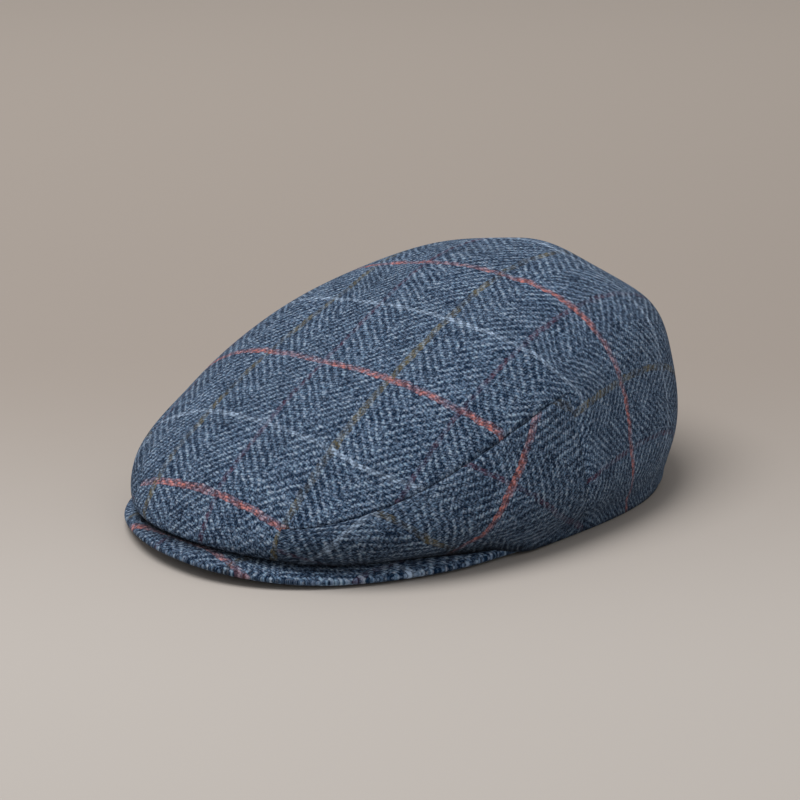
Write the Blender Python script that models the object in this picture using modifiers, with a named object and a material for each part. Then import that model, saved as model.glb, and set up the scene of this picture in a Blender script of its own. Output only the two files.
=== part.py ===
"""A flat cap of herringbone tweed, lying on its own peak and hem.

The crown is one egg-shaped surface, sewn from a top panel that also forms the back and
from a panel at each side. Below it are the stiff peak and the hem round the head opening.
The front of the cap points along -Y, the left side along +X, and +Z is up.

Every shape is worked out from a bearing, an angle round the cap that is zero at the front
and a right angle at the left side, and from a share of the way up the crown or along the
peak. Lengths are in metres. Places are measured from the middle of the head opening, and
the last function moves the whole cap so that its box stands on the origin.
"""

from collections import namedtuple
from math import pi, radians

import bmesh
import bpy
import numpy as np

# Head opening and hem
HEAD_LENGTH = 0.204
HEAD_WIDTH = 0.1764
HEAD_SQUARENESS = 2.6
HEM_HEIGHT = 0.025
HEM_THICKNESS = 0.002

# Cloth and clearances
CLOTH = 0.002
SEAM_GAP = 0.0005
PEAK_GAP = 0.0004
HEM_GAP = 0.0007
FLOOR_GAP = 0.0003

# Crown: how far its nose, sides and back stand out past the head opening, and its height
NOSE_OVERHANG = 0.0355
SIDE_OVERHANG = 0.0143
BACK_OVERHANG = 0.0175
CROWN_HEIGHT = 0.0985
CROWN_WIDTH = HEAD_WIDTH + 2.0 * SIDE_OVERHANG
CROWN_NOSE = HEAD_LENGTH / 2.0 + NOSE_OVERHANG
CROWN_BACK = HEAD_LENGTH / 2.0 + BACK_OVERHANG

# Peak: how far its front and its sides stand out past the head opening, and its form
PEAK_DEPTH = 0.0465
PEAK_OVERHANG = 0.0063
PEAK_REACH = HEAD_LENGTH / 2.0 + PEAK_DEPTH
PEAK_WIDTH = HEAD_WIDTH + 2.0 * PEAK_OVERHANG
PEAK_THICKNESS = 0.004
PEAK_LIFT = 0.0035
PEAK_RISE = 0.003
PEAK_DIP = 0.002
PEAK_EDGE_RADIUS = 0.0014
PEAK_SQUARENESS = 2.2
PEAK_END = radians(80)
PEAK_CORNER = radians(46)

# Crease where the crown sits on the peak: how far it lies behind the nose, and at the sides
# its share of the way from the hem to the peak's edge
CREASE_SETBACK = 0.0065
CREASE_SIDE = 0.50

# How the lower edge leaves the peak for the hem, and then comes down behind the peak's end
LEAVE_START = PEAK_END - radians(20)
LEAVE_TURN = radians(36)
DROP_TURN = radians(9)

# Seam between the top panel and a side panel: two upright ends and a long run between them
SEAM_FRONT = radians(24)
SEAM_BACK = radians(92)
SEAM_FRONT_CLIMB = 0.34
SEAM_BACK_CLIMB = 0.555

# Sections of the crown from the belly up. Widths are shares of half the crown's width,
# front lengths of its nose, widest and back lengths of its back, heights of its height.
# The apex closes the crown at its full height, at its own share of the back's length.
Ring = namedtuple("Ring", "name half_width front widest back front_height side_height "
                          "back_height front_squareness back_squareness")
RINGS = [
    Ring("belly", 1.000, 1.000, -0.08, 0.980, 0.175, 0.230, 0.280, 2.2, 2.5),
    Ring("wall", 0.930, 0.900, -0.06, 1.000, 0.315, 0.445, 0.545, 2.1, 2.5),
    Ring("shoulder", 0.825, 0.765, -0.02, 0.970, 0.435, 0.635, 0.765, 2.0, 2.4),
    Ring("slope", 0.630, 0.530, 0.08, 0.800, 0.595, 0.820, 0.900, 1.95, 2.2),
    Ring("top", 0.365, 0.165, 0.25, 0.610, 0.800, 0.945, 0.985, 2.0, 2.0),
]
APEX_BACK = 0.38

# The tuck under the belly, as shares of the way from the lower edge to the belly
Tuck = namedtuple("Tuck", "front side back")
TUCK_OUT = Tuck(0.60, 0.20, 0.20)
TUCK_UP = Tuck(0.20, 0.30, 0.30)

# Faces along each stretch of the meshes
FRONT_FACES = 12
SIDE_FACES = 17
BACK_FACES = 34
TOP_ROWS = 11
WALL_ROWS = 12
PEAK_FACES = 40
PEAK_ROWS = 5
HEM_FACES = 72
HEM_ROWS = 2
EDGE_SEGMENTS = 2
WELD = 1e-6
STEP = 1e-3

# Finish: colour, roughness and metallic value
Finish = namedtuple("Finish", "colour roughness metallic")
TOP_TWEED = Finish((0.060, 0.085, 0.135, 1.0), 0.95, 0.0)
SIDE_TWEED = Finish((0.050, 0.072, 0.115, 1.0), 0.95, 0.0)
PEAK_TWEED = Finish((0.055, 0.080, 0.130, 1.0), 0.93, 0.0)
HEM_TWEED = Finish((0.035, 0.045, 0.075, 1.0), 0.95, 0.0)


def clear_scene():
    """Remove every object that the scene holds"""
    for old in list(bpy.data.objects):
        bpy.data.objects.remove(old, do_unlink=True)


def smooth(share):
    """An even start and end between 0 and 1"""
    share = np.clip(share, 0.0, 1.0)
    return share * share * (3.0 - 2.0 * share)


def oval(bearing, half_width, front, widest, back, front_squareness, back_squareness):
    """Plan of an egg: one superellipse ahead of its widest place, another behind it"""
    side, ahead = np.sin(bearing), np.cos(bearing)
    squareness = np.where(ahead > 0.0, front_squareness, back_squareness)
    x = half_width * np.sign(side) * np.abs(side) ** (2.0 / squareness)
    reach = np.where(ahead > 0.0, -front - widest, back - widest)
    return x, widest + reach * np.abs(ahead) ** (2.0 / squareness)


def round_the_cap(bearing, front, side, back):
    """A value that turns from front to side to back with the bearing"""
    ahead = np.cos(bearing)
    return side + np.where(ahead > 0.0, front - side, back - side) * ahead ** 2


def parabola(y, places, heights):
    """Height at y on the parabola through three places"""
    first, middle, last = places
    return (heights[0] * (y - middle) * (y - last) / ((first - middle) * (first - last))
            + heights[1] * (y - first) * (y - last) / ((middle - first) * (middle - last))
            + heights[2] * (y - first) * (y - middle) / ((last - first) * (last - middle)))


def head_oval(bearing, outside):
    """Plan of the head opening, set outwards by a distance"""
    half_length = HEAD_LENGTH / 2.0 + outside
    return oval(bearing, HEAD_WIDTH / 2.0 + outside, half_length, 0.0, half_length,
                HEAD_SQUARENESS, HEAD_SQUARENESS)


def peak_plan(bearing, share):
    """Plan of the peak, from the hem at 0 to the peak's edge at 1"""
    inner_x, inner_y = head_oval(bearing, HEM_THICKNESS + PEAK_GAP)
    outer_x, outer_y = oval(bearing, PEAK_WIDTH / 2.0, PEAK_REACH, 0.0, 0.0,
                            PEAK_SQUARENESS, PEAK_SQUARENESS)
    return inner_x + (outer_x - inner_x) * share, inner_y + (outer_y - inner_y) * share


def peak_under(bearing, share):
    """Underside of the peak: arched from side to side, falling and curling to its edge"""
    x, y = peak_plan(bearing, share)
    arch = 0.5 + 0.5 * np.cos(pi * np.minimum(np.abs(bearing) / PEAK_CORNER, 1.0))
    fade = np.maximum(np.cos(bearing), 0.0)
    z = PEAK_LIFT * arch + fade * (PEAK_RISE * (1.0 - share) + PEAK_DIP * (1.0 - share ** 4))
    return np.stack([x, y, z], axis=-1)


def peak_top(bearing, share):
    """Upper face of the peak, a peak's thickness above its underside"""
    along = peak_under(bearing + STEP, share) - peak_under(bearing - STEP, share)
    across = peak_under(bearing, share + STEP) - peak_under(bearing, share - STEP)
    up = np.cross(across, along)
    up = up / np.linalg.norm(up, axis=-1, keepdims=True)
    return peak_under(bearing, share) + PEAK_THICKNESS * up


def lower_edge(bearing):
    """Foot of the crown: on the peak as far as its ends, and round the hem behind them"""
    turned = np.abs(bearing)
    on_peak = np.minimum(turned, PEAK_END)
    hem_front = HEAD_LENGTH / 2.0 + HEM_THICKNESS + PEAK_GAP
    crease_front = (CROWN_NOSE - CREASE_SETBACK - hem_front) / (PEAK_REACH - hem_front)
    crease = CREASE_SIDE + (crease_front - CREASE_SIDE) * np.cos(on_peak) ** 2
    inner = np.stack(peak_plan(on_peak, 0.0), axis=-1)
    outer = np.stack(peak_plan(on_peak, 1.0), axis=-1)
    wall_share = CLOTH / np.linalg.norm(outer - inner, axis=-1)
    seat = peak_top(on_peak, crease)
    seat_height = np.maximum(seat[..., 2], peak_top(on_peak, crease - wall_share)[..., 2])

    rear = np.stack(head_oval(turned, HEM_THICKNESS + HEM_GAP + CLOTH), axis=-1)
    leave = smooth((turned - LEAVE_START) / LEAVE_TURN)[..., None]
    plan = seat[..., :2] * (1.0 - leave) + rear * leave
    drop = smooth((turned - PEAK_END) / DROP_TURN - STEP)
    height = (seat_height + PEAK_GAP) * (1.0 - drop) + FLOOR_GAP * drop
    return np.stack([plan[..., 0] * np.sign(bearing), plan[..., 1], height], axis=-1)


def ring_points(ring, bearing):
    """One section of the crown: an egg in plan, lying on a curved sheet"""
    places = (-ring.front * CROWN_NOSE, ring.widest * CROWN_BACK, ring.back * CROWN_BACK)
    x, y = oval(bearing, ring.half_width * CROWN_WIDTH / 2.0, -places[0], places[1], places[2],
                ring.front_squareness, ring.back_squareness)
    height = parabola(y, places, (ring.front_height, ring.side_height, ring.back_height))
    return np.stack([x, y, CROWN_HEIGHT * height], axis=-1)


def crown_sections(bearing):
    """Foot, tuck and rings of the crown, from the bottom to the apex"""
    foot = lower_edge(bearing)
    rings = [ring_points(ring, bearing) for ring in RINGS]
    out = round_the_cap(bearing, *TUCK_OUT)
    up = round_the_cap(bearing, *TUCK_UP)
    tuck = foot + (rings[0] - foot) * np.stack([out, out, up], axis=-1)
    apex = np.zeros_like(foot) + (0.0, APEX_BACK * CROWN_BACK, CROWN_HEIGHT)
    return np.stack([foot, tuck] + rings + [apex])


def spline_slopes(count, level_end):
    """Matrix that turns evenly spaced values into the slopes of a natural cubic spline"""
    left = np.diag(np.full(count, 4.0)) + np.diag(np.ones(count - 1), 1)
    left += np.diag(np.ones(count - 1), -1)
    right = 3.0 * (np.diag(np.ones(count - 1), 1) - np.diag(np.ones(count - 1), -1))
    left[0, 0] = left[-1, -1] = 2.0
    right[0, 0], right[-1, -1] = -3.0, 3.0
    if level_end:
        left[-1] = 0.0
        left[-1, -1] = 1.0
        right[-1] = 0.0
    return np.linalg.solve(left, right)


def crown(bearing, climb):
    """Outer face of the crown, with climb 0 at its foot and 1 at its apex"""
    bearing, climb = np.broadcast_arrays(bearing, climb)
    knots = crown_sections(bearing)
    count = len(knots)
    free = np.tensordot(spline_slopes(count, False), knots, 1)
    level = np.tensordot(spline_slopes(count, True), knots[..., 2], 1)
    slopes = np.concatenate([free[..., :2], level[..., None]], axis=-1)
    place = climb * (count - 1)
    below = np.clip(np.floor(place).astype(int), 0, count - 2)
    part = (place - below)[..., None]

    def at(values, step):
        """Values at the section below each point, or the one above it"""
        wanted = np.broadcast_to((below + step)[None, ..., None], (1,) + values.shape[1:])
        return np.take_along_axis(values, wanted, axis=0)[0]

    rise = part * part * (3.0 - 2.0 * part)
    bend = part * (1.0 - part)
    return (at(knots, 0) * (1.0 - rise) + at(knots, 1) * rise
            + at(slopes, 0) * bend * (1.0 - part) - at(slopes, 1) * bend * part)


def seam_climb(bearing):
    """Climb of the seam's long run, carried on round the nose and the back"""
    along = (np.abs(bearing) - SEAM_FRONT) / (SEAM_BACK - SEAM_FRONT)
    return SEAM_FRONT_CLIMB + (SEAM_BACK_CLIMB - SEAM_FRONT_CLIMB) * smooth(along)


def seam_margin(bearing):
    """Half the seam's gap as a share of the climb"""
    climb = seam_climb(bearing)
    rate = np.linalg.norm(crown(bearing, climb + STEP) - crown(bearing, climb - STEP), axis=-1)
    return SEAM_GAP / 2.0 * (2.0 * STEP / rate)


def seam_turn():
    """Half the seam's gap as an angle, for the seam's upright ends"""
    return SEAM_GAP / CROWN_WIDTH


def add_grid(shape, columns, rows, place):
    """Add a grid of faces and put the corner of each column and row where place says"""
    across, up = len(columns) - 1, len(rows) - 1
    corners = bmesh.ops.create_grid(shape, x_segments=across, y_segments=up, size=1.0)["verts"]
    column = [round((corner.co.x + 1.0) / 2.0 * across) for corner in corners]
    row = [round((corner.co.y + 1.0) / 2.0 * up) for corner in corners]
    points = place(np.asarray(columns)[column], np.asarray(rows)[row])
    for corner, point in zip(corners, points):
        corner.co = point


def finish_sheet(name, shape, thickness, finish, collection):
    """Weld a sheet's patches, then give it its wall and its material"""
    bmesh.ops.remove_doubles(shape, verts=shape.verts, dist=WELD)
    mesh = bpy.data.meshes.new(name)
    shape.to_mesh(mesh)
    shape.free()
    mesh.shade_smooth()
    piece = bpy.data.objects.new(name, mesh)
    collection.objects.link(piece)
    wall = piece.modifiers.new("wall", "SOLIDIFY")
    wall.thickness = thickness
    wall.offset = -1.0
    wall.use_even_offset = True
    material = bpy.data.materials.new(name)
    material.use_nodes = True
    shader = material.node_tree.nodes["Principled BSDF"]
    shader.inputs["Base Color"].default_value = finish.colour
    shader.inputs["Roughness"].default_value = finish.roughness
    shader.inputs["Metallic"].default_value = finish.metallic
    material.diffuse_color = finish.colour
    mesh.materials.append(material)
    return piece


def wall_place(bearing, share):
    """A point of the crown's wall below the seam's line, for the top panel's skirts"""
    return crown(bearing, share * (seam_climb(bearing) + seam_margin(bearing)))


def build_crown_top(collection):
    """Top panel: a disc down to the seam's line, with a skirt at the nose and at the back"""
    front = SEAM_FRONT - seam_turn()
    back = SEAM_BACK + seam_turn()
    nose = np.linspace(-front, front, FRONT_FACES + 1)
    left = np.linspace(front, back, SIDE_FACES + 1)
    rear = np.linspace(back, 2.0 * pi - back, BACK_FACES + 1)
    right = np.linspace(-back, -front, SIDE_FACES + 1)
    bearings = np.concatenate([right[:-1], nose[:-1], left[:-1], rear])
    bearings = np.arctan2(np.sin(bearings), np.cos(bearings))

    def disc(bearing, share):
        start = seam_climb(bearing) + seam_margin(bearing)
        return crown(bearing, start + (1.0 - start) * share)

    shape = bmesh.new()
    add_grid(shape, bearings, np.linspace(0.0, 1.0, TOP_ROWS + 1), disc)
    for stretch in (nose, np.arctan2(np.sin(rear), np.cos(rear))):
        add_grid(shape, stretch, np.linspace(0.0, 1.0, WALL_ROWS + 1), wall_place)
    return finish_sheet("crown_top", shape, CLOTH, TOP_TWEED, collection)


def build_side(name, side, collection):
    """Side panel: from the seam's front end to its back end, below its long run"""
    bearings = side * np.linspace(SEAM_FRONT + seam_turn(), SEAM_BACK - seam_turn(),
                                  SIDE_FACES + 1)
    bearings = np.sort(bearings)

    def below_seam(bearing, share):
        return crown(bearing, share * (seam_climb(bearing) - seam_margin(bearing)))

    shape = bmesh.new()
    add_grid(shape, bearings, np.linspace(0.0, 1.0, WALL_ROWS + 1), below_seam)
    return finish_sheet(name, shape, CLOTH, SIDE_TWEED, collection)


def build_peak(collection):
    """Peak: its underside given its thickness upwards, with a rounded edge"""
    shape = bmesh.new()
    add_grid(shape, np.linspace(-PEAK_END, PEAK_END, PEAK_FACES + 1),
             np.linspace(0.0, 1.0, PEAK_ROWS + 1), peak_under)
    peak = finish_sheet("peak", shape, PEAK_THICKNESS, PEAK_TWEED, collection)
    edge = peak.modifiers.new("edge", "BEVEL")
    edge.width = PEAK_EDGE_RADIUS
    edge.segments = EDGE_SEGMENTS
    edge.limit_method = "ANGLE"
    edge.angle_limit = radians(50)
    return peak


def build_hem(collection):
    """Hem: an upright band round the head opening that lifts with the peak at the front"""
    def band(bearing, share):
        x, y = head_oval(bearing, HEM_THICKNESS)
        lift = np.where(np.cos(bearing) > 0.0, peak_under(bearing, 0.0)[..., 2], 0.0)
        return np.stack([x, y, lift + HEM_HEIGHT * share], axis=-1)

    shape = bmesh.new()
    add_grid(shape, np.linspace(-pi, pi, HEM_FACES + 1), np.linspace(0.0, 1.0, HEM_ROWS + 1),
             band)
    return finish_sheet("hem_band", shape, HEM_THICKNESS, HEM_TWEED, collection)


def stand_on_origin(pieces):
    """Carry the pieces on one empty, placed so that the cap's box stands on the origin"""
    bpy.context.view_layer.update()
    depsgraph = bpy.context.evaluated_depsgraph_get()
    corners = []
    for piece in pieces:
        shown = piece.evaluated_get(depsgraph)
        corners += [tuple(corner.co) for corner in shown.to_mesh().vertices]
        shown.to_mesh_clear()
    corners = np.array(corners)
    low, high = corners.min(axis=0), corners.max(axis=0)
    carrier = bpy.data.objects.new("cap_carrier", None)
    bpy.context.scene.collection.objects.link(carrier)
    carrier.location = (0.0, -(low[1] + high[1]) / 2.0, -low[2])
    for piece in pieces:
        piece.parent = carrier


def main():
    clear_scene()
    collection = bpy.data.collections.new("flat_cap")
    bpy.context.scene.collection.children.link(collection)
    pieces = [
        build_crown_top(collection),
        build_side("side_left", 1.0, collection),
        build_side("side_right", -1.0, collection),
        build_peak(collection),
        build_hem(collection),
    ]
    stand_on_origin(pieces)


main()
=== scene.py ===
"""Looks for a flat cap of herringbone tweed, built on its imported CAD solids.

The crown is sewn from a top panel, which also forms the nose and the back, and from a panel
at each side. The stiff peak and the hem lie below it. Each panel is one sheet of cloth whose
UV map holds places on the flat cloth in metres, so the weave and the check follow the cut.
Lengths are in metres and angles in radians. The form is worked out round the middle of the
head opening, and every finished point is carried into the frame of the CAD model.
"""

from collections import namedtuple
from functools import cache
from math import cos, pi, radians, sin

import bpy
import numpy as np
from bpy.props import FloatProperty, FloatVectorProperty, IntProperty, PointerProperty
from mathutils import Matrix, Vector


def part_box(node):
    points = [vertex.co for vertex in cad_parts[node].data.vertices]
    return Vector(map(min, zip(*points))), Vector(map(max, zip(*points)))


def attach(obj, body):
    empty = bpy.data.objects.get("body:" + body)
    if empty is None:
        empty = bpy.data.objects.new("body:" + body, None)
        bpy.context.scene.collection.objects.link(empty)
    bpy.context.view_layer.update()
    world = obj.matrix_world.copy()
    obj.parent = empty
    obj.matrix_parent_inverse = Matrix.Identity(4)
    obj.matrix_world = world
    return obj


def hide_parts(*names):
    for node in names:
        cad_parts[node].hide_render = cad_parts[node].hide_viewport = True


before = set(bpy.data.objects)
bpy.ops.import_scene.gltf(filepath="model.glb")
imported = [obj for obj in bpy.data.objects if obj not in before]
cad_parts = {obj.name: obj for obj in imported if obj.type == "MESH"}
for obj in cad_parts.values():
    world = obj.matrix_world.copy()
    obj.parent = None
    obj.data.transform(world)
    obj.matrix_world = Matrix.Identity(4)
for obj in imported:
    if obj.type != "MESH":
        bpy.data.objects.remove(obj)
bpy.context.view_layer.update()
HEM_LOW, HEM_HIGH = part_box("hem_band")
CENTRE = np.array((HEM_LOW + HEM_HIGH) / 2.0) * (0.0, 1.0, 0.0)

bl_info = {
    "name": "Flat cap",
    "version": (1, 0, 0),
    "blender": (4, 5, 0),
    "location": "3D View > Sidebar > Flat cap",
    "description": "Builds the cloth panels, the peak, the hem and the studio of a flat cap",
    "category": "Object",
}

# Form of the cap, as its CAD source gives it
HEAD_LENGTH = 0.204
HEAD_WIDTH = 0.1764
HEAD_SQUARENESS = 2.6
HEM_HEIGHT = 0.025
HEM_THICKNESS = 0.002
CLOTH = 0.002
PEAK_GAP = 0.0004
HEM_GAP = 0.0007
FLOOR_GAP = 0.0003
NOSE_OVERHANG = 0.0355
SIDE_OVERHANG = 0.0143
BACK_OVERHANG = 0.0175
CROWN_HEIGHT = 0.0985
CROWN_WIDTH = HEAD_WIDTH + 2.0 * SIDE_OVERHANG
CROWN_NOSE = HEAD_LENGTH / 2.0 + NOSE_OVERHANG
CROWN_BACK = HEAD_LENGTH / 2.0 + BACK_OVERHANG
PEAK_DEPTH = 0.0465
PEAK_OVERHANG = 0.0063
PEAK_REACH = HEAD_LENGTH / 2.0 + PEAK_DEPTH
PEAK_WIDTH = HEAD_WIDTH + 2.0 * PEAK_OVERHANG
PEAK_THICKNESS = 0.004
PEAK_LIFT = 0.0035
PEAK_RISE = 0.003
PEAK_DIP = 0.002
PEAK_SQUARENESS = 2.2
PEAK_END = radians(80)
PEAK_CORNER = radians(46)
CREASE_SETBACK = 0.0065
CREASE_SIDE = 0.50
LEAVE_START = PEAK_END - radians(20)
LEAVE_TURN = radians(36)
DROP_START = radians(70)
DROP_TURN = radians(11)
SEAM_FRONT = radians(24)
SEAM_BACK = radians(92)
SEAM_FRONT_CLIMB = 0.34
SEAM_BACK_CLIMB = 0.555

Ring = namedtuple("Ring", "name half_width front widest back front_height side_height "
                          "back_height front_squareness back_squareness")
RINGS = [
    Ring("belly", 1.000, 1.000, -0.08, 0.980, 0.175, 0.230, 0.280, 2.2, 2.5),
    Ring("wall", 0.930, 0.900, -0.06, 1.000, 0.315, 0.445, 0.545, 2.1, 2.5),
    Ring("shoulder", 0.825, 0.765, -0.02, 0.970, 0.435, 0.635, 0.765, 2.0, 2.4),
    Ring("slope", 0.630, 0.530, 0.08, 0.800, 0.595, 0.820, 0.900, 1.95, 2.2),
    Ring("top", 0.365, 0.165, 0.25, 0.610, 0.800, 0.945, 0.985, 2.0, 2.0),
]
APEX_BACK = 0.38
Tuck = namedtuple("Tuck", "front side back")
TUCK_OUT = Tuck(0.70, 0.20, 0.20)
TUCK_UP = Tuck(0.06, 0.30, 0.30)
STEP = 1e-3
NORMAL_STEP = 2e-4
WELD = 1e-6

# How worn cloth departs from the CAD form, and the painted shade on the nose: a bell in the
# bearing, with its reach and size. Sizes are shares of the peak's width for the crease and
# metres for the others, but the nose's painted shade has a share of the light
Bell = namedtuple("Bell", "bearing reach size")
CREASE_OUT = Bell(radians(-9), radians(24), 0.14)
CREASE_IN = Bell(radians(58), radians(17), -0.26)
FOOT_OUT = Bell(radians(80), radians(9), 0.0026)
FOOT_UP = Bell(radians(80), radians(8), 0.0010)
BELLY_DOWN = Bell(radians(-8), radians(28), -0.0022)
BELLY_UP = Bell(radians(42), radians(18), 0.0026)
NOSE_SHADE = Bell(radians(18), radians(27), 0.50)
PEAK_IN = Bell(radians(-21), radians(19), 0.0034)
PEAK_IN_FRONT = Bell(radians(10), radians(45), 0.0013)
PEAK_IN_END = Bell(radians(78), radians(8), 0.0016)

# Soft hollows (negative) and swells of the crown: bearing and climb of the middle, reach each
# way and height. The table has its angles in degrees
Dent = namedtuple("Dent", "bearing climb turn rise height")
DENTS = [Dent(radians(bearing), climb, radians(turn), rise, height)
         for bearing, climb, turn, rise, height in (
             (52, 0.50, 22, 0.060, -0.0008),
             (-38, 0.52, 20, 0.070, -0.0007),
             (8, 0.44, 14, 0.050, 0.0007),
             (120, 0.50, 14, 0.080, -0.0010),
             (150, 0.36, 12, 0.090, 0.0008),
             (-130, 0.46, 15, 0.090, -0.0010),
             (70, 0.22, 10, 0.060, -0.0008),
             (46, 0.20, 9, 0.060, 0.0007),
             (-66, 0.24, 12, 0.060, -0.0008),
             (-42, 0.28, 24, 0.100, -0.0022),
             (125, 0.04, 20, 0.120, 0.0012),
             (134, 0.13, 18, 0.070, 0.0016),
             (180, 0.82, 22, 0.090, 0.0022),
             (162, 0.63, 16, 0.100, -0.0020),
             (-100, 0.74, 20, 0.100, -0.0012))]

# Relief of the seam. Its path runs from 0 at the front end to 1 at the back end, the long run
# fades in and out on it, and the thread's tension swings in two waves. Beside the valley, the
# cloth sinks a little over a few times the valley's reach
Wave = namedtuple("Wave", "size pace start")
RUN_START, RUN_START_WIDTH = 0.16, 0.08
RUN_END, RUN_END_WIDTH = 0.78, 0.06
TENSION_SLOW = Wave(0.16, 61.0, 1.3)
TENSION_QUICK = Wave(0.12, 133.0, 0.0)
SINK_DEPTH = 0.0003
SINK_REACHES = 3.0

# Relief of the hem behind the peak's ends: a roll with a shallow groove above it
ROLL_START = PEAK_END + DROP_TURN * 0.6
ROLL_TURN = radians(8)
ROLL_REACH = 0.0024
ROLL_SWING = Wave(0.2, 29.0, 0.0)
GROOVE_SHARE = 0.30
GROOVE_ABOVE = 0.0046
GROOVE_REACH = 0.0017

# Shade of the crown's foot and of the nose above the lip. Depths are shares of the light and
# the others shares of the climb. Above the peak, the foot's depth and reach gain a part
AHEAD_START, AHEAD_TURN = radians(70), radians(20)
FOOT_DEPTH, FOOT_DEPTH_GAIN = 0.52, 0.36
FOOT_REACH, FOOT_REACH_GAIN = 0.06, 0.17
NOSE_SHADE_START, NOSE_SHADE_WIDTH = 0.14, 0.26

# Shade of the peak below the crease: it fades past the crease, sooner at the sides, and the
# peak's middle is a little darker than its sides
ASIDE_START, ASIDE_TURN = radians(15), radians(40)
CREASE_DEPTH = 0.88
CREASE_SHADE_END, CREASE_SHADE_ASIDE, CREASE_SHADE_WIDTH = 0.17, 0.08, 0.20
UPPER_START, UPPER_WIDTH = 0.4, 0.2
MIDDLE_LIGHT, ASIDE_LIGHT = 0.79, 0.40

# Painted light on each piece's cloth, a factor on the tweed's colours: the side panels are
# painted darker as painted shade, the peak is painted lighter where its lip catches the light,
# and the hem is painted darker
TOP_PAINTED_LIGHT, SIDE_PAINTED_LIGHT, PEAK_PAINTED_LIGHT, HEM_PAINTED_LIGHT = 0.98, 0.82, 1.08, 0.80

# Columns and rows of the meshes: how many, and how much they crowd at both ends. The disc of
# the top panel has closer rows near the seam
NOSE_SPREAD = (66, 0.55)
FLANK_SPREAD = (86, 0.35)
REAR_SPREAD = (150, 0.45)
SIDE_SPREAD = (120, 0.5)
SIDE_ROW_SPREAD = (60, 0.5)
PEAK_SPREAD = (220, 0.4)
NEAR_SEAM, NEAR_ROWS, DISC_ROWS, SKIRT_ROWS = 0.05, 10, 56, 43
PEAK_ROUND, HEM_COLUMNS, HEM_ROUND, FLOOR_ROUND = 97, 241, 61, 97

# Points along each upright end of the seam and along its long run, and the parts in which
# points are measured against them
SEAM_END_POINTS, SEAM_RUN_POINTS, PATH_PARTS = 60, 240, 40

# Sections of the peak and the hem: how square they get, and the turn in which the peak thins
LIP_SQUAREST = 11.0
HEM_SQUARENESS = 14.0
PEAK_TAPER = radians(2.5)

# The check, in metres of cloth
CHECK_WIDTH = 0.038
CHECK_LENGTH = 0.042


class CapSewing(bpy.types.PropertyGroup):
    """Sizes of the sewn details that the cloth panels carry"""

    seam_depth: FloatProperty(
        name="Seam depth", description="How deep the panels roll in at their seams",
        default=0.0011, min=0.0, max=0.004, unit="LENGTH")
    seam_reach: FloatProperty(
        name="Seam reach", description="How far from a seam the cloth begins to roll in",
        default=0.0024, min=0.0005, max=0.01, unit="LENGTH")
    seam_end: FloatProperty(
        name="Seam ends", description="Share of the seam's depth at its two upright ends",
        default=0.15, min=0.0, max=1.0)
    seam_gap: FloatProperty(
        name="Seam gap", description="Space between the two panels at the bottom of a seam",
        default=0.0001, min=0.0, max=0.001, unit="LENGTH")
    hem_roll: FloatProperty(
        name="Hem roll", description="How far the turned hem stands out behind the peak",
        default=0.0006, min=0.0, max=0.003, unit="LENGTH")
    hem_roll_height: FloatProperty(
        name="Hem roll height", description="Height of the middle of the hem roll",
        default=0.0036, min=0.001, max=0.01, unit="LENGTH")
    lip_roundness: FloatProperty(
        name="Lip roundness", description="Width of the rounded lip of the peak",
        default=0.0040, min=0.001, max=0.01, unit="LENGTH")


class CapTweed(bpy.types.PropertyGroup):
    """Sizes and colours of the herringbone tweed"""

    warp_check: FloatProperty(
        name="Check width", description="Distance between two neighbouring lengthwise lines",
        default=CHECK_WIDTH, min=0.01, max=0.1, unit="LENGTH")
    weft_check: FloatProperty(
        name="Check length", description="Distance between two neighbouring crosswise lines",
        default=CHECK_LENGTH, min=0.01, max=0.1, unit="LENGTH")
    warp_count: IntProperty(
        name="Lengthwise yarns", description="Lengthwise yarns in a check, a multiple of 32",
        default=32, min=16, max=64)
    weft_count: IntProperty(
        name="Crosswise yarns", description="Crosswise yarns in a check",
        default=36, min=16, max=64)
    yarn_relief: FloatProperty(
        name="Yarn relief", description="Height of the weave's bumps",
        default=0.00045, min=0.0, max=0.002, unit="LENGTH")
    rib_contrast: FloatProperty(
        name="Rib contrast", description="How much paler the crosswise yarns are",
        default=0.40, min=0.0, max=1.0)
    grain: FloatProperty(
        name="Grain", description="How strongly the wool's fibres speckle the cloth",
        default=1.95, min=0.0, max=5.0)
    blotches: FloatProperty(
        name="Blotches", description="How strongly paler and darker patches cloud the cloth",
        default=0.65, min=0.0, max=5.0)
    warp_colour: FloatVectorProperty(
        name="Warp", description="Navy of the darkest yarns", subtype="COLOR",
        default=(0.002, 0.014, 0.040), min=0.0, max=1.0)
    weft_colour: FloatVectorProperty(
        name="Weft", description="Slate blue of the pale yarns", subtype="COLOR",
        default=(0.148, 0.205, 0.310), min=0.0, max=1.0)
    frost_colour: FloatVectorProperty(
        name="Frost", description="Pale blue of the brightest fibres", subtype="COLOR",
        default=(0.37, 0.42, 0.51), min=0.0, max=1.0)
    red_line: FloatVectorProperty(
        name="Red line", description="Salmon red yarns of the check", subtype="COLOR",
        default=(0.50, 0.182, 0.165), min=0.0, max=1.0)
    blue_line: FloatVectorProperty(
        name="Blue line", description="Light blue yarns of the check", subtype="COLOR",
        default=(0.35, 0.46, 0.62), min=0.0, max=1.0)
    wine_line: FloatVectorProperty(
        name="Wine line", description="Burgundy yarns of the check", subtype="COLOR",
        default=(0.115, 0.030, 0.058), min=0.0, max=1.0)
    olive_line: FloatVectorProperty(
        name="Olive line", description="Olive yarns of the check", subtype="COLOR",
        default=(0.165, 0.140, 0.070), min=0.0, max=1.0)


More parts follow.
